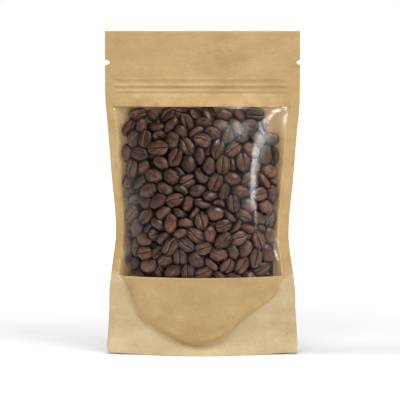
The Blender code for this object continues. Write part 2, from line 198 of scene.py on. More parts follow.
# ---- the shape of the panels
def curve(place, value, at):
    """A smooth curve through the values at these places, read at others. The value may be a table."""
    slope = np.gradient(value, place, axis=0)
    at = np.clip(at, place[0], place[-1])
    i = np.clip(np.searchsorted(place, at) - 1, 0, len(place) - 2)
    step = place[i + 1] - place[i]
    t = (at - place[i]) / step
    if value.ndim == 2:
        step, t = step[:, None], t[:, None]
    rise = value[i + 1] - value[i]
    bend = (1 - t) * (slope[i] * step - rise) - t * (slope[i + 1] * step - rise)
    return value[i] + t * rise + t * (1 - t) * bend


def through(stations, at):
    """A smooth curve through the stations (place, value)."""
    place, value = np.array(stations, float).T
    return curve(place, value, at)


def smooth_step(low, high, at):
    t = np.clip((at - low) / (high - low), 0, 1)
    return t * t * (3 - 2 * t)


def ripple(s, v, length, seed, waves=9):
    """Smooth random waves of about this length, from about -1 to 1."""
    random = np.random.RandomState(seed)
    total = 0
    for _ in range(waves):
        turn, phase = random.uniform(0, 2 * np.pi, 2)
        number = 2 * np.pi / (length * random.uniform(0.7, 1.5))
        total = total + np.sin(number * (s * np.cos(turn) + v * np.sin(turn)) + phase)
    return total / waves**0.5 / 1.4


def arc_height(s):
    """The bottom seal's arc: low in the middle, rising to the side seals."""
    out = np.clip(np.abs(s) / ARC_REACH, 0, 1)
    return ARC_LOW + ARC_RISE * out ** np.where(s < 0, ARC_POWER_LEFT, ARC_POWER_RIGHT)


def front_arc(s):
    """The same arc on the front, pulled by the load into straight runs with kinks between them."""
    place, height = np.array(FRONT_ARC).T
    near = [np.interp(s + step, place, height) for step in (-0.6, 0, 0.6)]
    return sum(near) / len(near)


def span(s):
    """The width of half a panel, from the middle to the side seal."""
    return PANEL_HALF - np.where(s < 0, SEAL_LEFT, SEAL_RIGHT)


def section(s, v):
    """How far a bulging panel stands out beyond the seal at (s, v)."""
    bulge = through(BULGE, v + SLUMP * s / PANEL_HALF)
    foot = np.clip((BELLY_FROM - v) / (BELLY_FROM - FOOT_TO), 0, 1)
    blunt = BLUNT_BELLY + (BLUNT_FOOT - BLUNT_BELLY) * foot
    half = span(s)
    out = np.clip(np.abs(s) / half, 0, 1)
    steps = (np.arange(20) + 0.5) / 20
    share = steps[:, None] ** blunt
    low, high = np.zeros_like(bulge), np.full_like(bulge, 1.4)
    for _ in range(20):  # the edge angle that gives the bulge
        angle = (low + high) / 2
        short = half * np.sin(angle * share).mean(axis=0) < bulge
        low, high = np.where(short, angle, low), np.where(short, high, angle)
    along = out + (1 - out) * steps[:, None]
    return half * (1 - out) * np.sin(angle * along**blunt).mean(axis=0)


def body_depth(s, v, arc, dent, dent_height):
    """The panel above the arc, with the dent along the arc."""
    stands = section(s, v)
    above_arc = np.clip(v - arc(s), 0, None)
    pinch = DENT_SOFT * np.exp(-above_arc / dent_height)
    pinch = pinch + DENT_SHARP * np.exp(-above_arc / (DENT_SHARP_HEIGHT * dent_height))
    return SEAL_HALF + stands - dent * np.clip(stands / 4, 0, 1) * pinch


def depth(s, v, arc=arc_height, dent=ARC_DENT, dent_height=ARC_DENT_HEIGHT):
    """How far the outer face of a smooth panel stands from the middle plane at (s, v)."""
    s, v = np.broadcast_arrays(np.asarray(s, float), np.asarray(v, float))
    shape, s, v = s.shape, s.ravel(), v.ravel()
    top = arc(s)
    down = np.clip(1 - v / top, 0, 1)
    foot = SEAL_HALF + SKIRT_BOW * (1 - np.clip(np.abs(s) / span(s), 0, 1) ** SKIRT_POWER)
    skirt = down * foot + (1 - down) * body_depth(s, top, arc, dent, dent_height)
    return np.where(v < top, skirt, body_depth(s, v, arc, dent, dent_height)).reshape(shape)


TABLE_S = np.linspace(-PANEL_HALF, PANEL_HALF, 331)
TABLE_V = np.linspace(0, HEIGHT, 184)
TABLE_DEPTH = depth(TABLE_S, TABLE_V[:, None])
TABLE_FRONT = depth(TABLE_S, TABLE_V[:, None], front_arc, FRONT_DENT, FRONT_DENT_HEIGHT)


def width_table():
    """The x of each (v, s) of the table, from the paper's width staying the same."""
    slope = np.gradient(TABLE_DEPTH, TABLE_S, axis=1)
    run = np.sqrt(1 - np.clip(slope, -0.95, 0.95) ** 2)
    step = TABLE_S[1] - TABLE_S[0]
    x = np.cumsum((run[:, 1:] + run[:, :-1]) / 2 * step, axis=1)
    x = np.concatenate([np.zeros((len(run), 1)), x], axis=1)
    return x - x[:, [len(TABLE_S) // 2]]


WIDTHS = width_table()


def read_table(table, across, up, a, b):
    """A table, with rows over up and columns over across, read at (a, b)."""
    i = np.clip((a - across[0]) / (across[1] - across[0]), 0, len(across) - 1.001)
    j = np.clip((b - up[0]) / (up[1] - up[0]), 0, len(up) - 1.001)
    i0, j0 = i.astype(int), j.astype(int)
    fi, fj = i - i0, j - j0
    low = table[j0, i0] * (1 - fi) + table[j0, i0 + 1] * fi
    high = table[j0 + 1, i0] * (1 - fi) + table[j0 + 1, i0 + 1] * fi
    return low * (1 - fj) + high * fj


def foot_spread(v):
    """How much wider the bag's foot is than its paper's bend gives."""
    return 1 + FOOT_SPREAD * smooth_step(60, 15, v)


def across(s, v):
    """The x of a place on a panel."""
    return read_table(WIDTHS, TABLE_S, TABLE_V, s, v) * foot_spread(v)


def front_depth(s, v):
    """How far the smooth front panel stands out, with its kinked arc."""
    return read_table(TABLE_FRONT, TABLE_S, TABLE_V, s, v)


# ---- paper detail
def puckers(s, v):
    """The small upright bulges of the paper just under the zip."""
    places = np.array(PUCKERS)
    waves = sum(high * np.exp(-(((s - place) / wide) ** 2)) for place, wide, high in places)
    return waves * smooth_step(*PUCKER_FOOT, v) * smooth_step(*PUCKER_TOP, v)


def creases(s, v):
    """Short soft folds in the front paper."""
    total = 0
    for at_s, at_v, turn, long, wide, high in CREASES:
        turn = np.radians(turn)
        along = (s - at_s) * np.cos(turn) + (v - at_v) * np.sin(turn)
        beside = -(s - at_s) * np.sin(turn) + (v - at_v) * np.cos(turn)
        total = total + high * np.exp(-((along / long) ** 2) - np.abs(beside / wide) ** 1.5)
    return total


def spot_seal(s, v):
    """The round mark near the foot of each side."""
    away = np.hypot(np.abs(s) - SPOT_OUT, v - SPOT_HEIGHT) - SPOT_RADIUS
    rim = SPOT_RIM * np.exp(-((away / SPOT_RIM_WIDTH) ** 2))
    return -rim - SPOT_MIDDLE * smooth_step(0.4, -0.4, away)


def zip_relief(s, v):
    """The ribs of the zip under the paper."""
    ribs = sum(high * np.exp(-(((v - rib) / ZIP_RIB_WIDTH) ** 2)) for rib, high in ZIP_RIBS)
    return ribs * smooth_step(0, 3, span(s) - np.abs(s))


def slow_waves(s, v, seed):
    return SLOW_WAVE * ripple(s, v, SLOW_WAVE_LENGTH, seed) * smooth_step(0, 8, span(s) - np.abs(s))


def paper_relief(s, v, seed):
    """What both panels have: waves, the side seals, the gusset's fold, the zip and the round marks."""
    small = sum(high * ripple(s, v, length, seed + i) for i, (high, length) in enumerate(COCKLES, 1))
    out = np.abs(s) - span(s)
    seal = -SEAL_STEP * smooth_step(-0.35, 0.35, out)
    line = GUSSET_FOLD_LINE * np.exp(-(((v - GUSSET_FOLD) / 0.5) ** 2)) * smooth_step(-9, -3, out)
    return slow_waves(s, v, seed) + small + seal + line + zip_relief(s, v) + spot_seal(s, v)


def corner_splay(s, v):
    """The bottom corners of front and back stand a little apart."""
    out = smooth_step(-SPLAY_WIDTH, 0, np.abs(s) - span(s))
    return CORNER_SPLAY * np.clip(1 - v / SPLAY_HEIGHT, 0, 1) ** 1.4 * out


def corner_lift(s, v):
    """The bottom corners curl up a little from the ground."""
    out = smooth_step(-LIFT_WIDTH, 0, np.abs(s) - PANEL_HALF)
    return CORNER_LIFT * out * np.clip(1 - v / LIFT_HEIGHT, 0, 1)


# ---- meshes
def new_object(name, points, faces, material, smooth=True):
    mesh = bpy.data.meshes.new(name)
    mesh.from_pydata((np.asarray(points) * MM).tolist(), [], faces)
    mesh.validate()
    if smooth:
        mesh.shade_smooth()
    mesh.materials.append(material)
    made = bpy.data.objects.new(name, mesh)
    scene.collection.objects.link(made)
    return made


def store(made, name, values):
    """Keeps a number or a row of three for each point of a mesh, for its material."""
    kind, field = ("FLOAT", "value") if values.ndim == 1 else ("FLOAT_VECTOR", "vector")
    made.data.attributes.new(name, kind, "POINT").data.foreach_set(field, values.ravel())


def grid_normals(points):
    """The unit normal at each point of a grid. It faces -Y on one that runs left to right and downwards."""
    down = np.gradient(points, axis=0)
    right = np.gradient(points, axis=1)
    normal = np.cross(down, right)
    return normal / np.linalg.norm(normal, axis=2, keepdims=True)


def shell(outer, inner, keep):
    """The points and faces of a closed sheet over the cells kept, and which grid points they are."""
    rows, cols, _ = outer.shape
    index = np.arange(rows * cols).reshape(rows, cols)
    points = np.concatenate([outer.reshape(-1, 3), inner.reshape(-1, 3)])
    a, b, c, d = index[:-1, :-1], index[1:, :-1], index[1:, 1:], index[:-1, 1:]
    front = np.stack([a, b, c, d], axis=2)[keep]
    back = np.stack([d, c, b, a], axis=2)[keep] + rows * cols
    faces = [front, back]
    padded = np.pad(keep, 1)
    inside = padded[1:-1, 1:-1]
    sides = (
        (padded[:-2, 1:-1], d, a), (padded[1:-1, :-2], a, b),
        (padded[2:, 1:-1], b, c), (padded[1:-1, 2:], c, d),
    )
    for neighbour, start, end in sides:
        rim = inside & ~neighbour
        start, end = start[rim], end[rim]
        faces.append(np.stack([end, start, start + rows * cols, end + rows * cols], axis=1))
    faces = np.concatenate(faces)
    used, faces = np.unique(faces, return_inverse=True)
    return points[used], faces.reshape(-1, 4), used


def all_cells(grid):
    return np.ones((grid.shape[0] - 1, grid.shape[1] - 1), bool)


def panel_grid(extra_s=(), extra_v=()):
    """The s of a panel's columns and the v of its rows, with a line at each extra place."""
    s = np.concatenate([np.linspace(-PANEL_HALF, PANEL_HALF, PANEL_COLUMNS), extra_s])
    s = np.unique(np.round(s, 3))
    fine = [np.arange(*rows) for rows in FINE_ROWS]
    v = np.concatenate([np.linspace(0, HEIGHT, PANEL_ROWS), *fine, extra_v])
    v = np.unique(np.round(v, 3))[::-1]
    return thin(s, extra_s), thin(v, extra_v)


def thin(places, wanted, least=0.22):
    """The places without those that are too near a wanted one."""
    wanted = np.asarray(wanted, float)
    if not len(wanted):
        return places
    away = np.abs(places[:, None] - wanted[None]).min(axis=1)
    return places[(away == 0) | (away > least)]


def notched(s, v):
    """s with the edges drawn in at the tear notches."""
    for side, (deep, half) in ((-1, NOTCH_LEFT), (1, NOTCH_RIGHT)):
        t = np.clip(1 - ((v - NOTCH_HEIGHT) / half) ** 2, 0, None) ** 0.7
        near = np.clip((side * s - PANEL_HALF + 8) / 8, 0, 1) ** 2
        s = s - side * deep * t * near
    return s


def front_stand(s, v):
    """How far the front panel stands out, with all its relief."""
    relief = paper_relief(s, v, 11) + corner_splay(s, v) + puckers(s, v) + creases(s, v)
    return np.maximum(front_depth(s, v) + relief, SEAL_HALF * 0.75)


def back_stand(s, v):
    return np.maximum(depth(s, v) + paper_relief(s, v, 31) + corner_splay(s, v), SEAL_HALF * 0.75)


def panel_points(s, v, side, stand_at):
    """The outer face of the front (side -1) or back (side 1) panel over the grid."""
    v = v[:, None] + 0 * s
    s = notched(s + 0 * v, v)
    stand = stand_at(s, v)
    wave = TOP_WAVE * np.sin(2 * np.pi * s / TOP_WAVE_LENGTH + TOP_WAVE_START)
    y = side * stand + wave * smooth_step(140, HEIGHT, v)
    return np.stack([across(s, v), y, v + corner_lift(s, v)], axis=2)


def mark_seal_sheen(made, s, v, arc, keep):
    """How far each point of a panel lies inside the bottom seal, whose paper gets a painted sheen there:
    paler and whiter than the free paper, for brighter light.
    """
    s, v = np.broadcast_arrays(s, v[:, None])
    sealed = smooth_step(0.8, -0.8, v - arc(s))
    store(made, "sealed", np.tile(sealed.ravel(), 2)[keep])


def panel(name, side, stand_at, arc, material, window_s=(), window_v=()):
    """The front (side -1) or back (side 1) sheet of paper, open between the lines of its window."""
    s, v = panel_grid(window_s, window_v)
    outer = panel_points(s, v, side, stand_at)
    inner = outer + side * grid_normals(outer) * PAPER
    keep = all_cells(outer)
    if window_s:
        mid_s, mid_v = (s[1:] + s[:-1]) / 2, (v[1:] + v[:-1]) / 2
        columns = (mid_s > window_s[0]) & (mid_s < window_s[1])
        rows = (mid_v > window_v[0]) & (mid_v < window_v[1])
        keep = ~(rows[:, None] & columns)
    points, faces, used = shell(outer, inner, keep) if side < 0 else shell(inner, outer, keep)
    made = new_object(name, points, faces, material)
    mark_seal_sheen(made, s, v, arc, used)
    return made


def gusset_height(s, share, arc):
    """The gusset's underside, at a share of the way from the middle line to the skirt's arc."""
    reach = span(s) - GUSSET_END
    out = np.clip((np.abs(s) - GUSSET_FLAT_REACH) / (reach - GUSSET_FLAT_REACH), 0, 1)
    fold = out**1.5 * (arc_height(s) - GUSSET_DROP)
    climb = np.clip((share - GUSSET_FLAT_SHARE) / (1 - GUSSET_FLAT_SHARE), 0, 1) ** 2
    return fold + (arc - fold) * climb


def gusset_half(s, side, stand_at, arc, last):
    """The rows of one half of the gusset: up the inside of the skirt, then in towards the middle."""
    rows = []
    for share in np.linspace(0, 1, GUSSET_SKIRT_ROWS):
        v = 0.15 + (arc - 0.6) * share
        y = side * np.clip(stand_at(s, v) - (PAPER + GUSSET_CLEAR), 0.1, None)
        rows.append(np.stack([across(s, v), y, v + corner_lift(s, v)], axis=1))
    for share in np.linspace(0.97, last, GUSSET_FLOOR_ROWS):
        v = gusset_height(s, share, arc - 0.6)
        rows.append(np.stack([across(s, v), y * share, v], axis=1))
    return rows


def bottom_gusset(material):
    """The folded sheet under the bag, from inside the front skirt to inside the back one."""
    s = np.linspace(-PANEL_HALF + GUSSET_INSET, PANEL_HALF - GUSSET_INSET, GUSSET_COLUMNS)
    back_arc = arc_height(s)
    front = gusset_half(s, -1, front_stand, np.minimum(front_arc(s), back_arc), 0.0)
    back = gusset_half(s, 1, back_stand, back_arc, 0.06)
    under = np.array(front + back[::-1])
    top = under + grid_normals(under) * GUSSET_SHEET
    return new_object("bottom_gusset", *shell(under, top, all_cells(under))[:2], material)


# ---- the film
def fold(s, v, tips, stations):
    """A ridge along a smooth curve, with its own height and reach to either side at each station."""
    stations = np.array(stations, float)
    steps = np.linalg.norm(np.diff(stations[:, :2], axis=0), axis=1)
    reach = np.concatenate([[0], np.cumsum(steps)])
    fine = np.linspace(0, reach[-1], FOLD_STEPS * len(steps) + 1)
    path_s, path_v, high, right, left = (through(list(zip(reach, column)), fine) for column in stations.T)
    best, side, along = np.full(s.shape, 1e9), np.zeros(s.shape), np.zeros(s.shape)
    for i in range(len(fine) - 1):
        way = np.array([path_s[i + 1] - path_s[i], path_v[i + 1] - path_v[i]])
        length = np.hypot(*way)
        way /= length
        t = np.clip((s - path_s[i]) * way[0] + (v - path_v[i]) * way[1], 0, length)
        off_s, off_v = s - path_s[i] - t * way[0], v - path_v[i] - t * way[1]
        nearer = np.hypot(off_s, off_v) < best
        best = np.where(nearer, np.hypot(off_s, off_v), best)
        side = np.where(nearer, way[0] * off_v - way[1] * off_s, side)
        along = np.where(nearer, fine[i] + t, along)
    wide = np.where(side > 0, np.interp(along, fine, right), np.interp(along, fine, left))
    tip = np.interp(along, np.linspace(0, fine[-1], len(tips)), tips)
    return np.interp(along, fine, high) * np.exp(-(np.hypot(best, tip) - tip) / wide)


def window_inset(s, v):
    """How far a place lies inside the window's edges."""
    beside = np.minimum(s - WINDOW_LEFT, WINDOW_RIGHT - s)
    return np.minimum(beside, np.minimum(v - WINDOW_BOTTOM, WINDOW_TOP - v))


def film_relief(s, v):
    """The folds and small wrinkles of the film, which die out where it is sealed to the paper."""
    inside = window_inset(s, v)
    folds = sum(fold(s, v, tips, stations) for tips, stations in FILM_FOLDS)
    small = sum(high * ripple(s, v, length, 61 + i) for i, (high, length) in enumerate(FILM_WAVES))
    return folds * smooth_step(-0.5, 1.5, inside) + small * smooth_step(0, 6, inside)


def smoothed(grid, passes):
    """The grid with its values averaged with their neighbours, this many times."""
    for _ in range(passes):
        padded = np.pad(grid, 1, mode="edge")
        grid = (padded[:-2, 1:-1] + padded[2:, 1:-1] + padded[1:-1, :-2] + padded[1:-1, 2:]) / 8 + grid / 2
    return grid


def read_smooth(table, s, v):
    """A table of the panel's shape, read at the rows v and the columns s as a smooth surface."""
    return curve(TABLE_S, curve(TABLE_V, table, v).T, s).T


def film_points(s, v):
    """The outer face of the film, which follows the paper's waves only where it is sealed to it."""
    base, x = read_smooth(TABLE_FRONT, s, v), read_smooth(WIDTHS, s, v)
    free = read_smooth(smoothed(TABLE_FRONT, FILM_SMOOTHING), s, v)
    v = v[:, None] + 0 * s
    s = s + 0 * v
    base = base + (free - base) * smooth_step(0, 5, window_inset(s, v))
    waves = slow_waves(s, v, 11) * smooth_step(10, 0, window_inset(s, v))
    stand = base + waves - PAPER - FILM_GAP + film_relief(s, v)
    return np.stack([x * foot_spread(v), -stand, v], axis=2)


def window_film(material):
    s = np.unique(np.concatenate([np.linspace(*columns) for columns in FILM_SPANS]))
    v = np.linspace(WINDOW_TOP + FILM_LAP, WINDOW_BOTTOM - FILM_LAP, FILM_ROWS)
    outer = film_points(s, v)
    inner = outer - grid_normals(outer) * FILM_THICK
    return new_object("clear_film", *shell(outer, inner, all_cells(outer))[:2], material)


# ---- where the beans lie
BEAN_LONG, BEAN_WIDE, BEAN_DOME, BEAN_FLAT = 11.7, 8.7, 3.3, 2.1
BEAN_SIZES = (0.8, 0.96, 1.06)  # the least, the most usual and the greatest
BEAN_TRAITS = (  # the least and the most of each, in the order in which they are drawn
    ("long", 0.93, 1.05), ("wide", 0.92, 1.04), ("dome", 0.9, 1.06), ("flat", 0.8, 1.1),
    ("bend", -0.5, 0.5), ("wave", -0.7, 0.7), ("lean", -0.13, 0.13), ("deep", 1, 1.6),
    ("open", 0.3, 0.46), ("hollow", 0.1, 0.45),
)
NEAR_GRID, FAR_GRID = (17, 29), (8, 14)  # rings and columns of a bean's mesh
NEAR_WITHIN = 7  # how far behind the film a bean with the fine mesh lies at most
CREASE_CROWD = 0.72
BALLS = np.array([  # a bean as the nine balls that its neighbours press on
    (0, 0, 0.2), (3.2, 0, 0), (-3.2, 0, 0), (1.8, 2.1, -0.2), (1.8, -2.1, -0.2), (-1.8, 2.1, -0.2),
    (-1.8, -2.1, -0.2), (0, 2.2, -0.2), (0, -2.2, -0.2),
])
BALL_RADIUS = np.array([2.65, 2.45, 2.45, 2, 2, 2, 2, 2.05, 2.05])
LAYER_X, LAYER_Y, LAYER_Z = 8.4, 5.6, 7.2
LAYERS, FIRST_LAYER, LAYER_LEFT, LAYER_RIGHT = 4, 3, -46, 45
LOOSE_JITTER = 1.6
STRAIGHT_SHARE, STRAIGHT_TILT, OTHER_TILT = 0.35, 0.45, 1.6  # how many beans lie straight, and how straight
CREASE_SHOWN = 0.52  # the share of the beans with their crease to the film
BEANS_FROM, BEANS_TO = 37, 142
CORE_FRONT, CORE_HALF, CORE_LOW = -3, 40, 8
CORE_BELOW, CORE_ROUND = 14, 16  # how far its top is below the heap's, and its corners below that
CORE_COLUMNS, CORE_ROWS = 60, 70
SETTLE_STEPS, GROW_STEPS, STILL_STEPS = 640, 330, 80
FIRST_SIZE, GROWTH = 0.62, 0.38
LIST_STEPS, LIST_REACH = 8, 13  # how often and how far around a bean its neighbours are looked for
CULL_STEPS, MOST_PRESSED = (400, 470, 530), 1.3
STIFFNESS, SETTLE_DOWN, SETTLE_OUT = 0.28, 0.014, 0.003
MOST_MOVE, MOST_TWIST, BEAN_INERTIA = 0.6, 0.12, 7

WALL_X = np.linspace(-PANEL_HALF, PANEL_HALF, 111)
WALL_CLEAR = 0.7
MOST_PROUD = 0.25  # how far a bean may pass the wall that it settled against
WALL_BACK, WALL_FRONT = (
    np.array([np.interp(WALL_X, x, row) for x, row in zip(WIDTHS, table)]) - PAPER - WALL_CLEAR
    for table in (TABLE_DEPTH, TABLE_FRONT)
)
RIGHT_LIMIT = ((36, 40.0), (50, 40.0), (62, 40.5), (75, 42.5), (90, 44.0), (140, 45.5))
LEFT_LIMIT = ((36, 46.0), (60, 46.0), (80, 46.5), (140, 46.5))


def wall(table, x, z):
    """How far a wall stands from the middle plane at (x, z), and its slopes there."""
    slope_z, slope_x = np.gradient(table, TABLE_V, WALL_X)
    return (read_table(grid, WALL_X, TABLE_V, x, z) for grid in (table, slope_x, slope_z))


def core_front(x, z):
    """Where the core begins, behind the beans. It keeps clear of the sides and the top."""
    stand = read_table(WALL_BACK, WALL_X, TABLE_V, x, z)
    recede = np.maximum(smooth_step(26, 41, np.abs(x)), smooth_step(104, 124, z))
    return CORE_FRONT + (stand - CORE_FRONT) * recede


def wall_push(balls, radius):
    """How each ball is pushed by the film, the back, the core, the sides and the lowest level."""
    x, y, z = np.moveaxis(balls, 2, 0)
    push = np.zeros_like(balls)
    for side, table in ((-1, WALL_FRONT), (1, WALL_BACK)):
        stand, slope_x, slope_z = wall(table, x, z)
        size = np.sqrt(1 + slope_x**2 + slope_z**2)
        inward = np.stack([slope_x, -side + 0 * x, slope_z], axis=2) / size[..., None]
        push += inward * np.clip(radius - (stand - side * y) / size, 0, None)[..., None]
    push[..., 1] -= np.clip(radius - (core_front(x, z) - y), 0, None)
    push[..., 0] -= np.clip(radius - (through(RIGHT_LIMIT, z) - x), 0, None)
    push[..., 0] += np.clip(radius - (x + through(LEFT_LIMIT, z)), 0, None)
    push[..., 2] += np.clip(radius - (z - BEANS_FROM), 0, None)
    return push


def turned(turn, twist):
    """The rotations turned further by small rotation vectors."""
    angle = np.linalg.norm(twist, axis=1)
    axis = twist / np.maximum(angle, 1e-9)[:, None]
    x, y, z = axis.T
    zero = 0 * x
    skew = np.array([[zero, -z, y], [z, zero, -x], [-y, x, zero]]).transpose(2, 0, 1)
    sine, cosine = np.sin(angle)[:, None, None], np.cos(angle)[:, None, None]
    step = np.eye(3) + sine * skew + (1 - cosine) * skew @ skew
    return step @ turn


def loose_beans(random):
    """The places and turns of beans that are not yet packed."""
    place = []
    for row, z in enumerate(np.arange(BEANS_FROM + 3, BEANS_TO, LAYER_Z)):
        for layer in range(LAYERS):
            shift = LAYER_X / 2 * ((row + layer) % 2)
            for x in np.arange(LAYER_LEFT + shift, LAYER_RIGHT, LAYER_X):
                stand = read_table(WALL_FRONT, WALL_X, TABLE_V, np.array([x]), np.array([z]))[0]
                y = -stand + FIRST_LAYER + layer * LAYER_Y
                if y < core_front(np.array([x]), np.array([z]))[0] - 0.5:
                    place.append((x, y, z))
    place = np.array(place) + random.uniform(-LOOSE_JITTER, LOOSE_JITTER, (len(place), 3))
    return place, loose_turns(random, len(place))


def loose_turns(random, count):
    """Random turns: the columns are a bean's long way, its width and the way its dome faces."""
    spin = random.uniform(0, 2 * np.pi, count)
    tilt = random.normal(0, 1, (count, 2))
    tilt *= np.where(random.uniform(0, 1, count) < STRAIGHT_SHARE, STRAIGHT_TILT, OTHER_TILT)[:, None]
    forward = np.where(random.uniform(0, 1, count) < CREASE_SHOWN, 1.0, -1.0)
    dome = np.stack([np.sin(tilt[:, 0]), forward, np.sin(tilt[:, 1])], axis=1)
    dome /= np.linalg.norm(dome, axis=1, keepdims=True)
    long = np.stack([np.cos(spin), 0 * spin, np.sin(spin)], axis=1)
    long -= dome * (long * dome).sum(axis=1, keepdims=True)
    long /= np.linalg.norm(long, axis=1, keepdims=True)
    return np.stack([long, np.cross(dome, long), dome], axis=2)


def pushes(balls, radius, first, second):
    """How each ball is pushed by the walls and by its neighbours, and how hard each pair of beans presses."""
    gap = balls[first][:, :, None] - balls[second][:, None]
    far = np.sqrt((gap**2).sum(axis=3)) + 1e-6
    press = np.clip(radius[first][:, :, None] + radius[second][:, None] - far, 0, None)
    gap *= (press / far)[..., None]
    push = wall_push(balls, radius)
    np.add.at(push, first, gap.sum(axis=2))
    np.add.at(push, second, -gap.sum(axis=1))
    return push, press.max(axis=(1, 2))


def settled_beans():
    """The places, turns and sizes of the beans, packed against the film and each other."""
    random = np.random.RandomState(5)
    place, turn = loose_beans(random)
    size = random.triangular(*BEAN_SIZES, len(place))
    for step in range(SETTLE_STEPS):
        grown = (FIRST_SIZE + GROWTH * min(1, step / GROW_STEPS)) * size
        arm = np.einsum("nij,kj->nki", turn, BALLS) * grown[:, None, None]
        balls, radius = place[:, None] + arm, BALL_RADIUS * grown[:, None]
        if step % LIST_STEPS == 0 or step - 1 in CULL_STEPS:
            apart = np.linalg.norm(place[:, None] - place[None], axis=2)
            first, second = np.nonzero(np.triu(apart < LIST_REACH, 1))
        push, press = pushes(balls, radius, first, second)
        drift = np.array([0, -SETTLE_OUT, -SETTLE_DOWN]) * (step < SETTLE_STEPS - STILL_STEPS)
        place += np.clip(STIFFNESS * push.sum(axis=1), -MOST_MOVE, MOST_MOVE) + drift
        twist = STIFFNESS * np.cross(arm, push).sum(axis=1) / BEAN_INERTIA
        turn = turned(turn, np.clip(twist, -MOST_TWIST, MOST_TWIST))
        if step in CULL_STEPS:
            squeezed = np.unique(first[press > MOST_PRESSED])
            place, turn, size = (np.delete(values, squeezed, axis=0) for values in (place, turn, size))
    return place, turn, size


# ---- the shape of a bean
def bean_grid(rings, columns):
    """How far along each ring of a bean is, the turn of each column, the side faces and the end faces."""
    along = -np.cos(np.pi * (np.arange(rings) + 0.5) / rings)
    even = np.linspace(0, 2 * np.pi, columns, endpoint=False)
    turn = even + CREASE_CROWD * np.sin(even)  # the columns crowd towards the crease, at half a turn
    ring, column = np.meshgrid(np.arange(rings - 1), np.arange(columns), indexing="ij")
    after = (column + 1) % columns
    start, end = ring * columns, (ring + 1) * columns
    faces = np.stack([start + column, start + after, end + after, end + column], axis=2).reshape(-1, 4)
    caps = [tuple(range(columns - 1, -1, -1)), tuple(range((rings - 1) * columns, rings * columns))]
    return along, turn, faces.tolist(), caps


def bean_body(t, turn, trait):
    """A bean's points before its crease is pressed in, and how round it is along t."""
    round_by = np.sqrt(np.clip(1 - np.abs(t) ** 2.25, 0, 1))
    q, up = np.sin(turn)[None], np.cos(turn)[None]
    x = BEAN_LONG / 2 * trait["long"] * t * (1 + 0 * q)
    y = BEAN_WIDE / 2 * trait["wide"] * round_by * q * (1 + trait["lean"] * t)
    high = BEAN_DOME * trait["dome"] * np.sign(up) * np.abs(up) ** 0.92
    low = BEAN_FLAT * trait["flat"] * np.sign(up) * np.abs(up) ** 0.5
    z = np.where(up > 0, high, low) * round_by ** np.where(up > 0, 1.0, 0.8)
    return x, y, z, round_by


def bean_points(along, turn, random):
    """The points of one bean, long along x, its creased side down, and how near each is to the crease."""
    trait = {name: random.uniform(least, most) for name, least, most in BEAN_TRAITS}
    t = along[:, None]
    x, y, z, round_by = bean_body(t, turn, trait)
    under = smooth_step(0.15, 0.6, -np.cos(turn)[None])
    groove = trait["deep"] * np.exp(-((y / trait["open"]) ** 2)) + trait["hollow"] * np.exp(-((y / 1.5) ** 2))
    z = z + under * groove * np.clip(round_by, 0, 1) ** 0.6
    middle = trait["bend"] * (1 - t**2) + trait["wave"] * np.sin(np.pi * t)
    y = y + under * middle * np.exp(-((y / 2.6) ** 2))
    crease = under * np.exp(-(((y - middle) / (1.6 * trait["open"])) ** 2))
    dents = ripple(x, y + 1.7 * z, 5.5, random.randint(10**6), 6) * random.uniform(0.03, 0.16)
    long, wide = BEAN_LONG / 2 * trait["long"], BEAN_WIDE / 2 * trait["wide"]
    x, y, z = x * (1 + 0.3 * dents / long), y * (1 + dents / wide), z * (1 + dents / 2.2)
    return np.stack([x, y, z], axis=2), crease


def neighbour_balls(i, place, turn, size):
    """The middles and radii of the balls of the beans round bean i."""
    apart = np.linalg.norm(place - place[i], axis=1)
    near = np.nonzero((apart < 14) & (apart > 0))[0]
    middles = place[near, None] + np.einsum("nij,kj->nki", turn[near], BALLS) * size[near, None, None]
    return middles.reshape(-1, 3), (BALL_RADIUS * size[near, None]).ravel()


def gap_to(points, middles, radii):
    """How far each point is from the nearest ball."""
    return (np.linalg.norm(points[:, None] - middles[None], axis=2) - radii).min(axis=1)


def behind_film(x, y, z):
    """How far each place lies behind the film."""
    return y + read_table(WALL_FRONT, WALL_X, TABLE_V, x, z)


def between_walls(x, y, z):
    """The y of a bean's points, clear of the film and pressed flatter where the back is near."""
    y = y + np.clip(-behind_film(x, y, z).min() - MOST_PROUD, 0, None)
    past = np.clip((y - read_table(WALL_BACK, WALL_X, TABLE_V, x, z)).max() - MOST_PROUD, 0, None)
    return y.min() + (y - y.min()) * (1 - past / np.ptp(y))


def bean_heap(material):
    """All the beans as one mesh: fine ones against the film, plainer ones behind them."""
    place, turn, size = settled_beans()
    random = np.random.RandomState(77)
    near = behind_film(*place.T) < NEAR_WITHIN
    layers = {name: [] for name in ("deep", "open", "grain", "tone", "wrinkled", "crease")}
    points, faces, start = [], [], 0
    for i in np.argsort(place[:, 2]):
        along, around, quads, caps = bean_grid(*(NEAR_GRID if near[i] else FAR_GRID))
        local, crease = bean_points(along, around, random)
        local = local.reshape(-1, 3)
        x, y, z = (local * size[i] @ turn[i].T + place[i]).T
        y = between_walls(x, y, z)
        points.append(np.stack([x, y, z], axis=1))
        faces += [[start + corner for corner in face] for face in quads + caps]
        layers["deep"].append(behind_film(x, y, z))
        layers["open"].append(gap_to(points[-1], *neighbour_balls(i, place, turn, size)))
        layers["grain"].append((local + random.uniform(-500, 500, 3)) * MM)
        layers["tone"].append(np.full(crease.size, random.uniform(0, 1)))
        layers["wrinkled"].append(np.full(crease.size, random.uniform(0, 1)))
        layers["crease"].append(crease.ravel())
        start += crease.size
    heap = new_object("roasted_beans", np.concatenate(points), faces, material)
    for name, values in layers.items():
        store(heap, name, np.concatenate(values))
    return heap


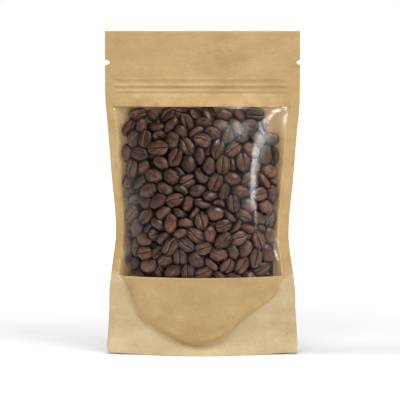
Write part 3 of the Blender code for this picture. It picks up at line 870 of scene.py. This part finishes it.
def bean_core(material):
    """One solid between the beans and the back panel, near black: painted shade for the beans hidden deep in
    the bag.
    """
    x, share = np.meshgrid(np.linspace(-CORE_HALF, CORE_HALF, CORE_COLUMNS), np.linspace(1, 0, CORE_ROWS))
    top = BEANS_TO - CORE_BELOW - CORE_ROUND * (x / CORE_HALF) ** 4
    z = CORE_LOW + (top - CORE_LOW) * share
    stand = read_table(WALL_BACK, WALL_X, TABLE_V, x, z)
    front = np.minimum(core_front(x, z) + 0.5, stand - 0.4)
    points = [np.stack([x, y, z], axis=2) for y in (front, stand)]
    return new_object("bean_core", *shell(*points, all_cells(x))[:2], material)


# ---- materials
def put(node, **values):
    """Sets a node's inputs. The underscores in a name stand for spaces."""
    for name, value in values.items():
        node.inputs[name.replace("_", " ")].default_value = value


def simple(name, color, roughness):
    made = bpy.data.materials.new(name)
    made.use_nodes = True
    put(made.node_tree.nodes["Principled BSDF"], Base_Color=(*color, 1), Roughness=roughness)
    return made


def noise(tree, place, scale, stretch=(1, 1, 1), detail=3, rough=0.55):
    """A noise texture's value, with features of about this many to the metre."""
    mapping = tree.nodes.new("ShaderNodeMapping")
    put(mapping, Scale=stretch)
    texture = tree.nodes.new("ShaderNodeTexNoise")
    put(texture, Scale=scale, Detail=detail, Roughness=rough)
    tree.links.new(place, mapping.inputs[0])
    tree.links.new(mapping.outputs[0], texture.inputs["Vector"])
    return texture.outputs["Fac"]


def attribute(tree, name, output="Fac"):
    """What is stored on the mesh under this name."""
    made = tree.nodes.new("ShaderNodeAttribute")
    made.attribute_name = name
    return made.outputs[output]


def mapped(tree, value, span):
    """A value taken from one range to another: span is both ends of the first, then of the second."""
    made = tree.nodes.new("ShaderNodeMapRange")
    for socket, number in zip(made.inputs[1:5], span):
        socket.default_value = number
    tree.links.new(value, made.inputs[0])
    return made.outputs[0]


def ramp(tree, value, stops):
    """A colour for each value, blended between the stops."""
    made = tree.nodes.new("ShaderNodeValToRGB")
    elements = made.color_ramp.elements
    while len(elements) < len(stops):
        elements.new(0.5)
    for element, (at, color) in zip(elements, stops):
        element.position = at
        element.color = (*color, 1)
    tree.links.new(value, made.inputs[0])
    return made.outputs[0]


def blend(tree, kind, share, first, second):
    """One colour mixed with another. The share is a number or a socket."""
    mix = tree.nodes.new("ShaderNodeMix")
    mix.data_type, mix.blend_type = "RGBA", kind
    for slot, value in ((0, share), (6, first), (7, second)):
        socket = mix.inputs[slot]
        if isinstance(value, bpy.types.NodeSocket):
            tree.links.new(value, socket)
        elif isinstance(value, tuple):
            socket.default_value = (*value, 1)
        else:
            socket.default_value = value
    return mix.outputs[2]


def kraft_material():
    """Brown kraft paper: soft blotches, short pale and dark fibres lying mostly across, a faint tooth, and a
    painted sheen that makes the bottom seal paler.
    """
    made = simple("kraft paper", KRAFT_MID, 0.62)
    tree = made.node_tree
    nodes, links = tree.nodes, tree.links
    shader = nodes["Principled BSDF"]
    put(shader, Specular_IOR_Level=0.35)
    place = nodes.new("ShaderNodeTexCoord").outputs["Object"]
    blotch = noise(tree, place, 55, (1, 1, 1.6), 4)
    base = ramp(tree, blotch, ((0.3, KRAFT_DARK), (0.5, KRAFT_MID), (0.72, KRAFT_PALE)))
    fibre = noise(tree, place, 420, (1, 1, 4.5), 3, 0.6)
    fibre_stops = ((0.34, (0.92, 0.91, 0.89)), (0.5, (1, 1, 1)), (0.68, (1.06, 1.06, 1.07)))
    fibres = ramp(tree, fibre, fibre_stops)
    color = blend(tree, "MULTIPLY", 0.8, base, fibres)
    speck = noise(tree, place, 900, (1, 1, 1), 2, 0.5)
    specks = ramp(tree, speck, ((0.27, (0.72, 0.68, 0.62)), (0.34, (1, 1, 1))))
    color = blend(tree, "MULTIPLY", 0.7, color, specks)
    # painted sheen: paler, whiter paper inside the bottom seal
    painted_seal_sheen = ramp(tree, attribute(tree, "sealed"), ((0.0, (1, 1, 1)), (1.0, SEAL_SHEEN_TINT)))
    color = blend(tree, "MULTIPLY", 1.0, color, painted_seal_sheen)
    links.new(color, shader.inputs["Base Color"])
    bump = nodes.new("ShaderNodeBump")
    put(bump, Strength=0.35, Distance=0.00012)
    links.new(fibre, bump.inputs["Height"])
    links.new(bump.outputs[0], shader.inputs["Normal"])
    return made


def bean_color(tree, patch, wrinkle, amount):
    """Each bean's own brown in patches, a paler lip at its crease and painted shade in the crease's slit,
    wrinkles with painted shade in their grooves and painted light on their ridges, and painted shade that
    grows with the depth behind the film and the nearness of other beans."""
    tone, crease = attribute(tree, "tone"), attribute(tree, "crease")
    color = ramp(tree, tone, ((0.0, ROAST_DARK), (0.55, ROAST_MID), (1.0, ROAST_PALE)))
    patches = ramp(tree, patch, ((0.35, (0.6, 0.56, 0.54)), (0.62, (1.25, 1.22, 1.18))))
    color = blend(tree, "MULTIPLY", 0.9, color, patches)
    lip = ramp(tree, crease, ((0.15, (0, 0, 0)), (0.5, (0.75, 0.75, 0.75)), (0.85, (0, 0, 0))))
    color = blend(tree, "MIX", lip, color, CREASE_LIP)
    # painted shade: darkens the crease's narrow slit
    painted_crease_shade = ramp(tree, crease, ((0.75, (1, 1, 1)), (1.0, (0.25, 0.22, 0.2))))
    color = blend(tree, "MULTIPLY", 1.0, color, painted_crease_shade)
    # partly the skin's wrinkle marks, partly painted shade in the wrinkles' grooves and painted light on
    # their ridges, following the bump
    wrinkle_shade_stops = ((0.36, (0.35, 0.32, 0.3)), (0.5, (1, 1, 1)), (0.64, (1.9, 1.75, 1.5)))
    color = blend(tree, "MULTIPLY", amount, color, ramp(tree, wrinkle, wrinkle_shade_stops))
    for name, span in (("deep", (2.5, 7.5, 1.0, 0.25)), ("open", (0.0, 2.2, 0.01, 1.0))):
        shade = mapped(tree, attribute(tree, name), span)
        color = blend(tree, "MULTIPLY", 1.0, color, shade)
    return color


def bean_material():
    """Roasted beans: brown skin with a soft oily gloss, and fine wrinkles along some of them."""
    made = simple("roasted coffee", ROAST_MID, 0.4)
    tree = made.node_tree
    nodes, links = tree.nodes, tree.links
    shader = nodes["Principled BSDF"]
    put(shader, Specular_IOR_Level=0.45)
    grain = attribute(tree, "grain", "Vector")
    patch = noise(tree, grain, 260, (1, 1, 1), 3)
    wrinkle = noise(tree, grain, 640, (0.5, 1.3, 1.3), 3, 0.65)
    amount = mapped(tree, attribute(tree, "wrinkled"), (0.25, 0.8, 0.15, 1.0))
    links.new(bean_color(tree, patch, wrinkle, amount), shader.inputs["Base Color"])
    bump = nodes.new("ShaderNodeBump")
    put(bump, Distance=0.001)
    links.new(amount, bump.inputs["Strength"])
    links.new(wrinkle, bump.inputs["Height"])
    links.new(bump.outputs[0], shader.inputs["Normal"])
    links.new(mapped(tree, patch, (0.35, 0.65, 0.28, 0.42)), shader.inputs["Roughness"])
    return made


def film_share(tree):
    """How much of the film is gloss: more at a glancing view, none where a ray leaves it again."""
    fresnel = tree.nodes.new("ShaderNodeFresnel")
    put(fresnel, IOR=FILM_INDEX)
    share = mapped(tree, fresnel.outputs[0], (0.04, 1.0, FILM_LEAST_GLOSS, 1.0))
    entering = tree.nodes.new("ShaderNodeMath")
    entering.operation = "SUBTRACT"
    entering.inputs[0].default_value = 1
    tree.links.new(tree.nodes.new("ShaderNodeNewGeometry").outputs["Backfacing"], entering.inputs[1])
    shine = tree.nodes.new("ShaderNodeMath")
    shine.operation = "MULTIPLY"
    tree.links.new(share, shine.inputs[0])
    tree.links.new(entering.outputs[0], shine.inputs[1])
    return shine.outputs[0]


def clear_film_material():
    """Clear film: see-through from the front, with a sharp gloss and a little haze round it."""
    made = bpy.data.materials.new("clear film")
    made.use_nodes = True
    tree = made.node_tree
    nodes, links = tree.nodes, tree.links
    nodes.clear()
    out = nodes.new("ShaderNodeOutputMaterial")
    mix, gloss = nodes.new("ShaderNodeMixShader"), nodes.new("ShaderNodeMixShader")
    gloss.inputs[0].default_value = FILM_HAZE
    for slot, roughness in zip(gloss.inputs[1:], (FILM_ROUGHNESS, FILM_HAZE_ROUGHNESS)):
        shine = nodes.new("ShaderNodeBsdfGlossy")
        put(shine, Roughness=roughness)
        links.new(shine.outputs[0], slot)
    links.new(film_share(tree), mix.inputs[0])
    links.new(nodes.new("ShaderNodeBsdfTransparent").outputs[0], mix.inputs[1])
    links.new(gloss.outputs[0], mix.inputs[2])
    links.new(mix.outputs[0], out.inputs[0])
    return made


# ---- staging
def area_light(name, turn, rise, away, size, power, lean=0):
    """A softbox that lights the bag from this many degrees to the right of its front and above the ground."""
    turn, rise = np.radians(turn), np.radians(rise)
    way = Vector((np.sin(turn) * np.cos(rise), -np.cos(turn) * np.cos(rise), np.sin(rise)))
    data = bpy.data.lights.new(name, "AREA")
    data.shape = "RECTANGLE"
    data.size, data.size_y = size
    data.energy = power
    light = bpy.data.objects.new(name, data)
    light.location = Vector(LIGHT_AIM) + way * away
    leaning = Quaternion((0, 0, 1), np.radians(lean))
    light.rotation_euler = (way.to_track_quat("Z", "Y") @ leaning).to_euler()
    scene.collection.objects.link(light)
    return light


def floor_material():
    """White, and brighter far from the bag, so that it runs into the background."""
    made = simple("floor", (0.8, 0.8, 0.8), 1.0)
    tree = made.node_tree
    nodes, links = tree.nodes, tree.links
    shader = nodes["Principled BSDF"]
    put(shader, Specular_IOR_Level=0, Emission_Color=(1, 1, 1, 1))
    place = nodes.new("ShaderNodeNewGeometry")
    away = nodes.new("ShaderNodeVectorMath")
    away.operation = "LENGTH"
    links.new(place.outputs["Position"], away.inputs[0])
    glow = mapped(tree, away.outputs["Value"], FLOOR_GLOW)
    links.new(glow, shader.inputs["Emission Strength"])
    return made


def studio_world():
    """A white background for the camera. For everything else it is grey behind the bag and dim before it."""
    world = bpy.data.worlds.new("studio")
    scene.world = world
    world.use_nodes = True
    tree = world.node_tree
    nodes, links = tree.nodes, tree.links
    white = nodes["Background"]
    white.inputs[0].default_value = (1, 1, 1, 1)
    room = nodes.new("ShaderNodeBackground")
    room.inputs[0].default_value = (1, 1, 1, 1)
    way = nodes.new("ShaderNodeTexCoord")
    split = nodes.new("ShaderNodeSeparateXYZ")
    links.new(way.outputs["Generated"], split.inputs[0])
    behind = mapped(tree, split.outputs["Y"], (-0.3, 0.35, ROOM_FRONT, ROOM_BACK))
    links.new(behind, room.inputs[1])
    mix = nodes.new("ShaderNodeMixShader")
    seen = nodes.new("ShaderNodeLightPath")
    links.new(seen.outputs["Is Camera Ray"], mix.inputs[0])
    links.new(room.outputs[0], mix.inputs[1])
    links.new(white.outputs[0], mix.inputs[2])
    links.new(mix.outputs[0], nodes["World Output"].inputs[0])


def group(name, objects):
    made = bpy.data.collections.new(name)
    for thing in objects:
        made.objects.link(thing)
    return made


def studio_floor():
    wide = 4.0 / MM
    corners = np.array([(-wide, -wide / 8, 0), (wide, -wide / 8, 0), (wide, wide, 0), (-wide, wide, 0)])
    floor = new_object("floor", corners, [(0, 1, 2, 3)], floor_material(), smooth=False)
    return floor


def light_up(paper, film, beans, floor):
    """Each set of lights shines on its own pieces. In the film's lights and the inner one the bag casts no
    shadow."""
    floor_only = group("floor_only", [floor])
    for lights, lit, blocked in (
        (PAPER_LIGHTS, paper + [floor], True), (BEAN_LIGHTS, beans, True), (INNER_LIGHTS, paper[1:2], False),
        (FILM_LIGHTS, [film], False),
    ):
        for light in lights:
            shine = area_light(*light)
            shine.light_linking.receiver_collection = group(light[0], lit)
            shine.visible_diffuse = lights is not FILM_LIGHTS
            if not blocked:
                shine.light_linking.blocker_collection = floor_only


def main_camera():
    data = bpy.data.cameras.new("camera")
    data.sensor_width = 36
    data.lens = CAMERA_LENS
    camera = bpy.data.objects.new("camera", data)
    rise, target = np.radians(CAMERA_RISE), Vector(CAMERA_TARGET)
    camera.location = target + Vector((0, -CAMERA_AWAY * np.cos(rise), CAMERA_AWAY * np.sin(rise)))
    camera.rotation_euler = (target - camera.location).to_track_quat("-Z", "Y").to_euler()
    scene.collection.objects.link(camera)
    scene.camera = camera


def stage(paper, film, beans):
    floor = studio_floor()
    studio_world()
    light_up(paper, film, beans, floor)
    main_camera()
    scene.view_settings.view_transform = "Standard"


# ---- the bag
kraft = kraft_material()
window = (WINDOW_LEFT, WINDOW_RIGHT), (WINDOW_BOTTOM, WINDOW_TOP)
paper = [
    panel("front_panel", -1, front_stand, front_arc, kraft, *window),
    panel("back_panel", 1, back_stand, arc_height, kraft),
    bottom_gusset(kraft),
]
for piece in paper:
    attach(piece, "root")
    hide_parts("kraft_pouch")

film = window_film(clear_film_material())
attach(film, "root")
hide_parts("window_film")

roast = bean_material()
# the core's near-black colour is painted shade for the beans hidden inside
beans = [bean_heap(roast), bean_core(simple("bean core shade", CORE_SHADE_COLOR, 0.8))]
for piece in beans:
    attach(piece, "root")
    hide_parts("coffee_beans")

stage(paper, film, beans)
